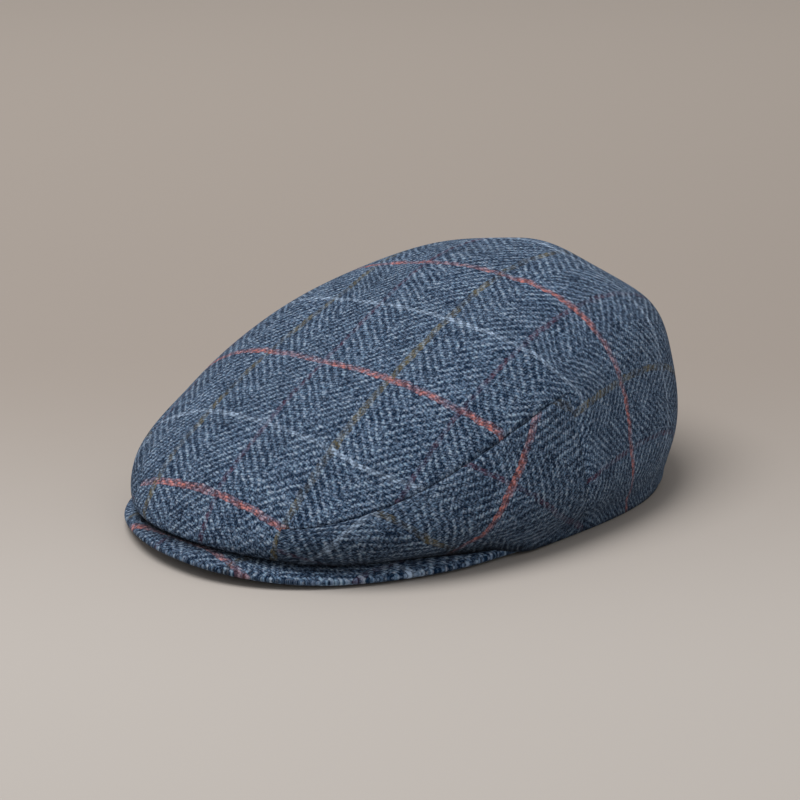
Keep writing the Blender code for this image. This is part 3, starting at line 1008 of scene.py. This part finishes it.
class Wire:
    """An output of a material's nodes; sums, products and comparisons add Math nodes"""

    def __init__(self, board, socket):
        self.board = board
        self.socket = socket

    __add__ = __radd__ = operator("ADD")
    __sub__ = operator("SUBTRACT")
    __rsub__ = operator("SUBTRACT", True)
    __mul__ = __rmul__ = operator("MULTIPLY")
    __mod__ = operator("FLOORED_MODULO")
    __lt__ = operator("LESS_THAN")
    __gt__ = operator("GREATER_THAN")


class Board:
    """The nodes of one material"""

    def __init__(self, name):
        self.material = bpy.data.materials.new(name)
        self.material.use_nodes = True
        self.tree = self.material.node_tree
        self.shader = self.tree.nodes["Principled BSDF"]

    def put(self, socket, value):
        """Set a socket to a number or a colour, or link a wire to it"""
        if isinstance(value, Wire):
            self.tree.links.new(value.socket, socket)
        else:
            socket.default_value = value

    def node(self, kind, settings, values, output=0):
        """Add a node: its settings first, then the values or wires of its inputs"""
        node = self.tree.nodes.new("ShaderNode" + kind)
        for name, value in settings.items():
            setattr(node, name, value)
        for socket, value in values.items():
            self.put(node.inputs[socket], value)
        return Wire(self, node.outputs[output])

    def maths(self, operation, *values):
        """Add a Math node"""
        return self.node("Math", {"operation": operation}, dict(enumerate(values)))

    def vector(self, x, y, z=0.0):
        """Join three values in a vector"""
        return self.node("CombineXYZ", {}, {0: x, 1: y, 2: z})

    def parts(self, vector):
        """The three values of a vector"""
        node = self.node("SeparateXYZ", {}, {0: vector}).socket.node
        return [Wire(self, output) for output in node.outputs]

    def mix(self, share, first, second, blend="MIX"):
        """Mix two colours"""
        return self.node("Mix", {"data_type": "RGBA", "blend_type": blend},
                         {0: share, 6: first, 7: second}, 2)

    def dim(self, colour, light):
        """A colour times a light"""
        grey = self.node("CombineColor", {}, {0: light, 1: light, 2: light})
        return self.mix(1.0, colour, grey, "MULTIPLY")

    def noise(self, vector, form, colour=False, dimensions="2D"):
        """Noise between about 0 and 1, or a colour of three such values"""
        return self.node("TexNoise", {"noise_dimensions": dimensions},
                         {"Vector": vector, "Scale": form.scale, "Detail": form.detail,
                          "Roughness": form.roughness}, 1 if colour else 0)

    def grade(self, value, low, high, first=0.0, last=1.0):
        """Carry a value from one range to another, evenly at both ends"""
        return self.node("MapRange", {"interpolation_type": "SMOOTHSTEP"},
                         {0: value, 1: low, 2: high, 3: first, 4: last})


# Noises by scale, detail and roughness. Fibres and hairs carry their scales in the places
# that they read, and so have scale 1
Noise = namedtuple("Noise", "scale detail roughness")
DRIFT, SHAKE = Noise(130.0, 1.0, 0.5), Noise(560.0, 1.0, 0.5)
GRAIN, FIBRES = Noise(640.0, 2.0, 0.7), Noise(1.0, 2.0, 0.6)
HAIRS, PATCHES = Noise(1.0, 1.0, 0.5), Noise(75.0, 2.0, 0.5)
BLOTCHES, CLOUDS = Noise(170.0, 2.0, 0.6), Noise(48.0, 3.0, 0.55)
FLOOR_GRAIN = Noise(14.0, 3.0, 0.5)

# How far the yarns drift and shake in metres, and the rates of fibres and hairs per metre
DRIFT_SIZE, SHAKE_SIZE = 0.0018, 0.0012
FIBRE_ACROSS, FIBRE_ALONG = 1700.0, 900.0
HAIR_ALONG, HAIR_ACROSS, HAIR_LEAN = 420.0, 2300.0, 0.4

# Paleness: what it starts from, the weights of slow patches, tufts, the yarn's height and
# fibres, and the stretches over which the cloth turns slate and then frosty
PALE_START, PALE_PATCHES, PALE_TUFTS, PALE_HEIGHT, PALE_FIBRES = 0.23, 0.35, 0.34, 0.30, 0.8
SLATE_FROM, SLATE_TO, FROST_FROM, FROST_TO = -0.05, 0.90, 0.60, 1.25
TINT_SHARE = 0.8
COOL_TINT, WARM_TINT = (0.52, 1.00, 1.12, 1.0), (1.18, 0.97, 0.94, 1.0)
HAIR_FROM, HAIR_TO, HAIR_SHARE = 0.66, 0.80, 0.38

# The check's lines: the ranges of noise over which they mottle and fade; their share on yarns
# that pass below and what comes to it on top; the same for the mottle; and their own light
# with what comes to it where the cloth is pale
MOTTLE_FROM, MOTTLE_TO, FADE_FROM, FADE_TO = 0.30, 0.56, 0.36, 0.62
LINE_BELOW, LINE_ON_TOP = 0.55, 0.45
LINE_PLAIN, LINE_MOTTLED = 0.35, 0.65
LINE_LIGHT, LINE_PALE = 0.62, 0.55

# Painted shade between the yarns and painted light on their tops; and clouds that darken the
# cloth's tone at random, with what the pale ones add
YARN_FOOT, YARN_TOP, ARCH_FOOT, ARCH_TOP = 0.55, 0.55, 0.45, 0.55
CLOUD_DARK, CLOUD_PALE = 0.76, 0.48
MEAN_HEIGHT = 0.6

# Parts of yarn, grain, fibre and hairs in the bumps, and the cloth's roughness
BUMP_YARN, BUMP_GRAIN, BUMP_FIBRE, BUMP_HAIRS = 0.8, 1.1, 0.5, 0.6
CLOTH_ROUGH, CLOTH_ROUGH_GAIN = 0.86, 0.12

# Where the pale line is worn away, behind the left seam, and from what distance it returns
WORN_PLACE = (0.100, 0.027, 0.028)
WORN_FROM, WORN_TO = 0.024, 0.036


def opaque(colour):
    """A colour with full alpha"""
    return tuple(colour) + (1.0,)


def on_yarns(turn, first, count):
    """1 on a number of yarns from the first one on, and 0 on the others"""
    return (turn > first - 0.5) * (turn < first + count - 0.5)


def make_tweed(name, tweed, painted_light):
    """Herringbone tweed with a two-colour check

    The UV map gives places on the cloth, which noise shifts a little. In a 2/2 twill the
    lengthwise yarn lies on top where the sum of both counts, modulo 4, is below 2; in every
    other column of half a check the crosswise count is taken away instead, which turns the
    ribs. Each float is round across and arched along its two crossings. The paleness of a
    place is the sum of its yarn, its tuft, its patches and blotches and its grain of fibres,
    and runs from navy over slate to frost. Certain yarns take the colours of the check,
    mottled by the same grain, with faded and strong stretches: two of wine and three of olive
    lengthwise, two of blue and two and a half of red crosswise. The pale blue ones are worn
    away at one place.
    """
    board = Board(name)
    place = board.node("UVMap", {"uv_map": "cloth"}, {})
    solid = board.node("TexCoord", {}, {}, 3)
    u, v, _ = board.parts(place)
    warp_rate = tweed.warp_count / tweed.warp_check
    weft_rate = tweed.weft_count / tweed.weft_check
    drift_u, drift_v, _ = board.parts(board.noise(place, DRIFT, True))
    shake_u, shake_v, _ = board.parts(board.noise(place, SHAKE, True))
    across = (u + (drift_u - 0.5) * DRIFT_SIZE + (shake_u - 0.5) * SHAKE_SIZE) * warp_rate + 1.0
    along = (v + (drift_v - 0.5) * DRIFT_SIZE + (shake_v - 0.5) * SHAKE_SIZE) * weft_rate + 1.0
    warp = board.maths("FLOOR", across)
    weft = board.maths("FLOOR", along)
    part_u = across - warp
    part_v = along - weft

    half = tweed.warp_count / 2.0
    turned = (warp % float(tweed.warp_count)) > (half - 0.5)
    phase = (weft + warp * (1.0 - turned * 2.0) + turned * 2.0) % 4.0
    weft_up = phase > 1.5
    warp_up = 1.0 - weft_up
    warp_along = (phase + part_v) * 0.5
    reach = phase - 2.0
    weft_along = (reach + part_u + turned * (1.0 - reach * 2.0)) * 0.5
    along_float = warp_along * warp_up + weft_along * weft_up
    across_float = part_u * warp_up + part_v * weft_up
    arch = board.maths("SINE", along_float * pi)
    crown_of_yarn = board.maths("SINE", across_float * pi)
    round_yarn = board.maths("SQRT", board.maths("MAXIMUM", crown_of_yarn, 0.0))
    height = round_yarn * (ARCH_FOOT + arch * ARCH_TOP)

    grain_a, grain_b, grain_c = board.parts(board.noise(place, GRAIN, True))
    fibre = board.noise(board.vector(u * FIBRE_ACROSS, v * FIBRE_ALONG), FIBRES)
    hair_one = board.noise(board.vector((u + v) * HAIR_ALONG, (u - v) * HAIR_ACROSS), HAIRS)
    hair_two = board.noise(board.vector((u - v * HAIR_LEAN) * HAIR_ACROSS,
                                        (v + u * HAIR_LEAN) * HAIR_ALONG), HAIRS)
    tuft = board.node("TexWhiteNoise", {"noise_dimensions": "2D"},
                      {"Vector": board.vector(warp, weft)})
    cloudy = board.noise(solid, CLOUDS, False, "3D")
    patchy_a, patchy_b, patchy_c = board.parts(board.noise(place, PATCHES, True))
    blotch = board.noise(place, BLOTCHES)

    pale = (PALE_START + weft_up * tweed.rib_contrast + (grain_a - 0.5) * tweed.grain
            + (patchy_b - 0.5) * PALE_PATCHES + (blotch - 0.5) * tweed.blotches
            + (tuft - 0.5) * PALE_TUFTS + (height - MEAN_HEIGHT) * PALE_HEIGHT
            + (fibre - 0.5) * PALE_FIBRES)
    cloth = board.mix(board.grade(pale, SLATE_FROM, SLATE_TO), opaque(tweed.warp_colour),
                      opaque(tweed.weft_colour))
    cloth = board.mix(board.grade(pale, FROST_FROM, FROST_TO), cloth,
                      opaque(tweed.frost_colour))
    tint = board.mix(grain_b, COOL_TINT, WARM_TINT)
    cloth = board.mix(TINT_SHARE, cloth, tint, "MULTIPLY")

    weft_turn = weft % float(tweed.weft_count * 2)
    warp_turn = warp % float(tweed.warp_count * 2)
    worn = board.node("VectorMath", {"operation": "DISTANCE"}, {0: solid, 1: WORN_PLACE}, 1)
    wine = on_yarns(warp_turn, 0, 2)
    olive = on_yarns(warp_turn, tweed.warp_count, 3)
    blue = on_yarns(weft_turn, tweed.weft_count, 2) * board.grade(worn, WORN_FROM, WORN_TO)
    red = on_yarns(weft_turn, 0, 2) + on_yarns(weft_turn, 2, 1) * 0.5
    mottle = board.grade(grain_c, MOTTLE_FROM, MOTTLE_TO)
    for line, over, patch, faded, strong, colour in (
            (wine, warp_up, patchy_a, 0.25, 0.65, tweed.wine_line),
            (olive, warp_up, patchy_b, 0.25, 0.85, tweed.olive_line),
            (blue, weft_up, patchy_a, 0.55, 1.00, tweed.blue_line),
            (red, weft_up, patchy_c, 0.40, 1.00, tweed.red_line)):
        share = (line * (LINE_BELOW + over * LINE_ON_TOP)
                 * board.grade(patch, FADE_FROM, FADE_TO, faded, strong)
                 * (LINE_PLAIN + mottle * LINE_MOTTLED))
        cloth = board.mix(share, cloth, board.dim(opaque(colour), LINE_LIGHT + pale * LINE_PALE))

    hairs = (board.grade(hair_one, HAIR_FROM, HAIR_TO)
             + board.grade(hair_two, HAIR_FROM, HAIR_TO)) * HAIR_SHARE
    cloth = board.mix(hairs, cloth, opaque(tweed.frost_colour))
    # Painted light and shade on the cloth's colour: the shade attribute paints shade in the
    # cap's folds and on its nose and paints light on the peak's sides, the yarns are painted
    # darker between each other than on their tops, and each piece's painted light scales it all;
    # the clouds only vary the tone at random
    painted_shading = board.node("Attribute", {"attribute_name": "shade"}, {}, 2)
    light = (YARN_FOOT + height * YARN_TOP) * (CLOUD_DARK + cloudy * CLOUD_PALE) * painted_shading * painted_light
    cloth = board.dim(cloth, light)

    raised = (height * BUMP_YARN + grain_a * BUMP_GRAIN + fibre * BUMP_FIBRE
              + hairs * BUMP_HAIRS)
    bump = board.node("Bump", {}, {"Strength": 1.0, "Distance": tweed.yarn_relief,
                                   "Height": raised})
    shader = board.shader
    board.put(shader.inputs["Base Color"], cloth)
    board.put(shader.inputs["Roughness"], CLOTH_ROUGH + cloudy * CLOTH_ROUGH_GAIN)
    board.put(shader.inputs["Normal"], bump)
    shader.inputs["Sheen Weight"].default_value = 0.05
    shader.inputs["Sheen Roughness"].default_value = 0.55
    shader.inputs["Sheen Tint"].default_value = (0.62, 0.72, 0.90, 1.0)
    shader.inputs["Specular IOR Level"].default_value = 0.08
    board.material.diffuse_color = opaque(tweed.warp_colour)
    return board.material


class CAP_OT_top_panel(bpy.types.Operator):
    """Build the top panel of the crown, with its skirts at the nose and the back"""

    bl_idname = "cap.top_panel"
    bl_label = "Top panel"

    def execute(self, context):
        """A disc above the seam's line, and below it a strip at the nose and at the back"""
        scene = context.scene
        sewing = scene.cap_sewing
        gap = sewing.seam_gap / CROWN_WIDTH
        front, back = SEAM_FRONT - gap, SEAM_BACK + gap
        nose = spaced(-front, front, *NOSE_SPREAD)
        left = spaced(front, back, *FLANK_SPREAD)
        rear = wrapped(spaced(back, 2.0 * pi - back, *REAR_SPREAD))
        right = -left[::-1]
        ring = np.concatenate([right[:-1], nose[:-1], left[:-1], rear])
        near = np.linspace(0.0, NEAR_SEAM, NEAR_ROWS)[:-1]
        rows = np.concatenate([near, np.linspace(NEAR_SEAM, 1.0, DISC_ROWS)])

        def edge(bearings):
            """Climb of the panel's edge along the seam, as a column"""
            return seam_edge(bearings, sewing.seam_gap / 2.0)[:, None]

        start = edge(ring)
        patches = [crown_patch(ring, start + (1.0 - start) * rows, top_check, sewing)]
        for stretch in (nose, rear):
            climb = edge(stretch) * np.linspace(0.0, 1.0, SKIRT_ROWS)
            patches.append(crown_patch(stretch, climb, top_check, sewing))
        material = make_tweed("top_tweed", scene.cap_tweed, TOP_PAINTED_LIGHT)
        piece = make_piece("top_cloth", patches, material)
        stand_for(give_wall(piece), "crown_top")
        return {"FINISHED"}


class CAP_OT_side_panels(bpy.types.Operator):
    """Build the two side panels of the crown"""

    bl_idname = "cap.side_panels"
    bl_label = "Side panels"

    def execute(self, context):
        """A strip below the seam's line on each side, between the seam's two upright ends"""
        scene = context.scene
        sewing = scene.cap_sewing
        gap = sewing.seam_gap / CROWN_WIDTH
        material = make_tweed("side_tweed", scene.cap_tweed, SIDE_PAINTED_LIGHT)
        for name, side in (("left", 1.0), ("right", -1.0)):
            bearings = np.sort(side * spaced(SEAM_FRONT + gap, SEAM_BACK - gap, *SIDE_SPREAD))
            edge = seam_edge(bearings, -sewing.seam_gap / 2.0)
            climb = edge[:, None] * spaced(0.0, 1.0, *SIDE_ROW_SPREAD)
            patch = crown_patch(bearings, climb, side_check, sewing)
            piece = make_piece("side_cloth_" + name, [patch], material)
            stand_for(give_wall(piece), "side_" + name)
        return {"FINISHED"}


class CAP_OT_peak(bpy.types.Operator):
    """Build the cloth-covered peak"""

    bl_idname = "cap.peak"
    bl_label = "Peak"

    def execute(self, context):
        """The CAD peak's underside with a closed section: a squared oval round each bearing

        Across the section the squareness grows with the peak's local width, so that the lip
        keeps one roundness, and the thickness follows the oval from below to above.
        """
        scene = context.scene
        bearings = spaced(-PEAK_END, PEAK_END, *PEAK_SPREAD)[:, None]
        turn = np.linspace(0.0, 2.0 * pi, PEAK_ROUND)
        inner = np.stack(peak_plan(bearings, 0.0), axis=-1)
        outer = np.stack(peak_plan(bearings, 1.0), axis=-1)
        width = np.linalg.norm(outer - inner, axis=-1)
        pull = (bell(bearings, PEAK_IN) + bell(bearings, PEAK_IN_FRONT)
                + bell(np.abs(bearings), PEAK_IN_END))
        pulled = 1.0 - pull / width
        squareness = np.clip(width / scene.cap_sewing.lip_roundness, 2.0, LIP_SQUAREST)
        share = (0.5 + 0.5 * signed_power(np.cos(turn), 2.0 / squareness)) * pulled
        rise = 0.5 + 0.5 * np.sin(turn)
        bearing = np.broadcast_to(bearings, share.shape)
        end = smooth((PEAK_END - np.abs(bearing)) / PEAK_TAPER) ** 0.5
        low = peak_under(bearing, share)
        up = peak_up(bearing, share)
        points = low + up * PEAK_THICKNESS * (0.5 + (rise - 0.5) * end)[..., None]
        cloth = np.stack(peak_check(points[..., 0], points[..., 1]), axis=-1)
        material = make_tweed("peak_tweed", scene.cap_tweed, PEAK_PAINTED_LIGHT)
        shade = peak_shade(bearing, share - crease_share(bearing), rise)
        piece = make_piece("peak_cloth", [(points, cloth, shade)], material)
        stand_for(piece, "peak")
        return {"FINISHED"}


class CAP_OT_hem(bpy.types.Operator):
    """Build the hem band round the head opening"""

    bl_idname = "cap.hem"
    bl_label = "Hem"

    def execute(self, context):
        """An upright band with a squared oval section, lifted with the peak at the front"""
        scene = context.scene
        bearings = np.linspace(-pi, pi, HEM_COLUMNS)[:, None]
        turn = np.linspace(0.0, 2.0 * pi, HEM_ROUND)
        height = HEM_HEIGHT * (0.5 - 0.5 * signed_power(np.cos(turn), 2.0 / HEM_SQUARENESS))
        outside = HEM_THICKNESS * (0.5 + 0.5 * np.sin(turn))
        bearing = np.broadcast_to(bearings, (len(bearings), len(turn)))
        x, y = head_oval(bearing, outside)
        lift = np.where(np.cos(bearing) > 0.0, peak_under(bearing, 0.0)[..., 2], 0.0)
        points = np.stack([x, y, lift + height], axis=-1)
        step = np.linalg.norm(np.diff(points[:, 0, :2], axis=0), axis=1)
        length = np.concatenate([[0.0], np.cumsum(step)])[:, None]
        cloth = np.stack(np.broadcast_arrays(length + HEM_START, height + HEM_FOOT), axis=-1)
        material = make_tweed("hem_tweed", scene.cap_tweed, HEM_PAINTED_LIGHT)
        piece = make_piece("hem_cloth", [(points, cloth, 1.0)], material)
        stand_for(piece, "hem_band")
        return {"FINISHED"}


# Places and sizes of the lights in metres, and the height at which they point
KEY_PLACE, KEY_SIZE = (-0.34, -0.38, 1.70), 1.4
FILL_PLACE, FILL_SIZE = (-0.9, -1.5, 0.9), 1.2
LIGHT_AIM = Vector((0.0, 0.0, 0.04))
LIGHT_COLOUR = (1.0, 0.99, 0.985)

# Depths at which the floor's three colours run into each other, counted from the middle of the
# cap's foot away from the camera: the floor is painted darker behind the cap as painted shade,
# and paler far away as painted light. Then how far the grain moves them, the floor's
# roughness, and the radii of its rings
MIDDLE_FROM, MIDDLE_TO, FAR_FROM, FAR_TO = -0.22, 0.22, 0.20, 1.15
DEPTH_GRAIN = 0.02
FLOOR_ROUGH, FLOOR_ROUGH_GAIN = 0.82, 0.1
FLOOR_RADII = (0.0, 0.3, 0.9, 2.0, 6.0)
SENSOR_WIDTH = 36.0


def place_and_turn(thing, place, target):
    """Put a light or a camera at its place, and turn it to what it looks at"""
    thing.location = place
    thing.rotation_mode = "QUATERNION"
    thing.rotation_quaternion = (target - Vector(place)).to_track_quat("-Z", "Y")
    bpy.context.scene.collection.objects.link(thing)


class CAP_OT_studio(bpy.types.Operator):
    """Build the floor, the soft lights and the camera"""

    bl_idname = "cap.studio"
    bl_label = "Studio"

    def execute(self, context):
        """A round floor, two large lights, even light from all round, and the camera"""
        scene = context.scene
        studio = scene.cap_studio
        scene.view_settings.view_transform = "Standard"
        self.add_floor(studio)
        self.add_light("key_light", KEY_PLACE, KEY_SIZE, studio.key_power)
        self.add_light("fill_light", FILL_PLACE, FILL_SIZE, studio.fill_power)
        world = bpy.data.worlds.new("studio_air")
        world.use_nodes = True
        air = world.node_tree.nodes["Background"]
        air.inputs["Color"].default_value = opaque(LIGHT_COLOUR)
        air.inputs["Strength"].default_value = studio.ambient
        scene.world = world

        az, el = studio.azimuth, studio.elevation
        back = Vector((sin(az) * cos(el), -cos(az) * cos(el), sin(el)))
        right = Vector((cos(az), sin(az), 0.0))
        up = back.cross(right)
        camera = bpy.data.objects.new("camera", bpy.data.cameras.new("camera"))
        camera.data.lens = studio.lens
        camera.data.sensor_width = SENSOR_WIDTH
        aim = right * studio.aim[0] + up * studio.aim[1]
        place_and_turn(camera, back * studio.distance, aim)
        scene.camera = camera
        return {"FINISHED"}

    def add_floor(self, studio):
        """A level disc with painted light: painted shade darkens it behind the cap, and painted
        light makes it paler far away
        """
        board = Board("floor_grey")
        place = board.node("TexCoord", {}, {}, 3)
        x, y, _ = board.parts(place)
        depth = y * cos(studio.azimuth) - x * sin(studio.azimuth)
        grain = board.noise(place, FLOOR_GRAIN, False, "3D")
        depth = depth + (grain - 0.5) * DEPTH_GRAIN
        colour = board.mix(board.grade(depth, MIDDLE_FROM, MIDDLE_TO),
                           opaque(studio.floor_colour), opaque(studio.middle_shade_colour))
        colour = board.mix(board.grade(depth, FAR_FROM, FAR_TO), colour,
                           opaque(studio.far_light_colour))
        board.put(board.shader.inputs["Base Color"], colour)
        board.put(board.shader.inputs["Roughness"], FLOOR_ROUGH + grain * FLOOR_ROUGH_GAIN)
        board.shader.inputs["Specular IOR Level"].default_value = 0.2
        turn = np.linspace(0.0, 2.0 * pi, FLOOR_ROUND)[:, None]
        radius = np.array(FLOOR_RADII)
        flat = np.stack([radius * np.sin(turn), radius * np.cos(turn), 0.0 * radius * turn],
                        axis=-1) - CENTRE
        floor = make_piece("floor", [(flat[::-1], flat[::-1, :, :2], 1.0)], board.material)

    def add_light(self, name, place, size, power):
        """A round soft light that points at the cap"""
        light = bpy.data.lights.new(name, "AREA")
        light.shape = "DISK"
        light.size = size
        light.energy = power
        light.color = LIGHT_COLOUR
        place_and_turn(bpy.data.objects.new(name, light), place, LIGHT_AIM)


class CAP_PT_panel(bpy.types.Panel):
    """Sizes, colours and steps of the flat cap"""

    bl_idname = "CAP_PT_panel"
    bl_label = "Flat cap"
    bl_space_type = "VIEW_3D"
    bl_region_type = "UI"
    bl_category = "Flat cap"

    def draw(self, context):
        """List every property and every step"""
        for group in (context.scene.cap_sewing, context.scene.cap_tweed,
                      context.scene.cap_studio):
            box = self.layout.box()
            for name in group.bl_rna.properties.keys():
                if name not in {"rna_type", "name"}:
                    box.prop(group, name)
        for step in STEPS:
            self.layout.operator(step.bl_idname)


STEPS = (CAP_OT_top_panel, CAP_OT_side_panels, CAP_OT_peak, CAP_OT_hem, CAP_OT_studio)
GROUPS = (CapSewing, CapTweed, CapStudio)


def register():
    """Register the classes and hang their properties on the scene"""
    for kind in GROUPS + STEPS + (CAP_PT_panel,):
        bpy.utils.register_class(kind)
    bpy.types.Scene.cap_sewing = PointerProperty(type=CapSewing)
    bpy.types.Scene.cap_tweed = PointerProperty(type=CapTweed)
    bpy.types.Scene.cap_studio = PointerProperty(type=CapStudio)


def unregister():
    """Take the properties and the classes away again"""
    del bpy.types.Scene.cap_sewing
    del bpy.types.Scene.cap_tweed
    del bpy.types.Scene.cap_studio
    for kind in reversed(GROUPS + STEPS + (CAP_PT_panel,)):
        bpy.utils.unregister_class(kind)


def main():
    """Build every piece"""
    register()
    bpy.ops.cap.top_panel()
    bpy.ops.cap.side_panels()
    bpy.ops.cap.peak()
    bpy.ops.cap.hem()
    bpy.ops.cap.studio()


if __name__ == "__main__":
    main()
